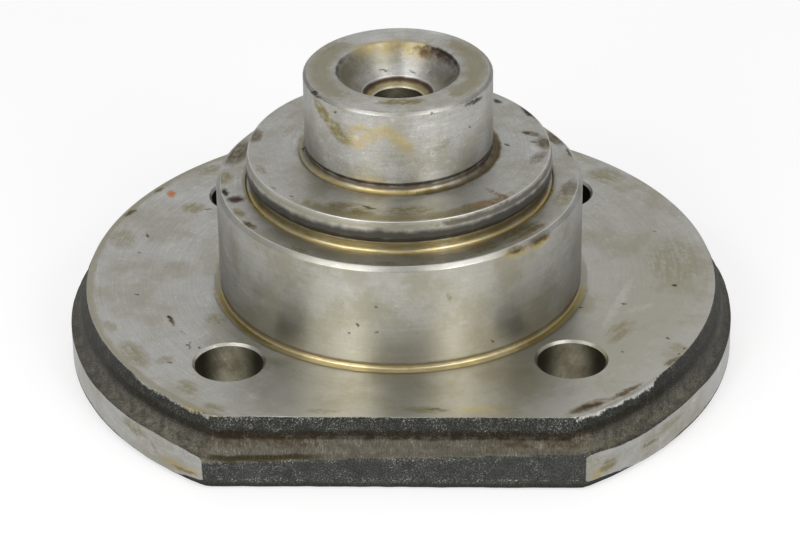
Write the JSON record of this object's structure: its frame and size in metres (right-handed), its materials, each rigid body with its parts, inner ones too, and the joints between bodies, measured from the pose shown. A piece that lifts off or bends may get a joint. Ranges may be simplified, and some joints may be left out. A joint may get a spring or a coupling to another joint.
{
  "type": "steering pivot pin",
  "caption": "Forged flange with one flat side and bolt holes, carrying a turned stem in three steps; the axle's steering knuckle swivels on it.",
  "frame": {"origin": "on the pin's axis, on the flat underside of the flange", "axes": "+Z along the pin's axis from the flange to the small end; the flange's flat side faces -Y"},
  "size_m": [0.165, 0.1516, 0.0752],
  "materials": {
    "steel": "bare turned steel with light oil stains, dark forging scale on the flange's edge"
  },
  "bodies": {
    "root": {"pivot_pin": "steel"}
  },
  "joints": []
}
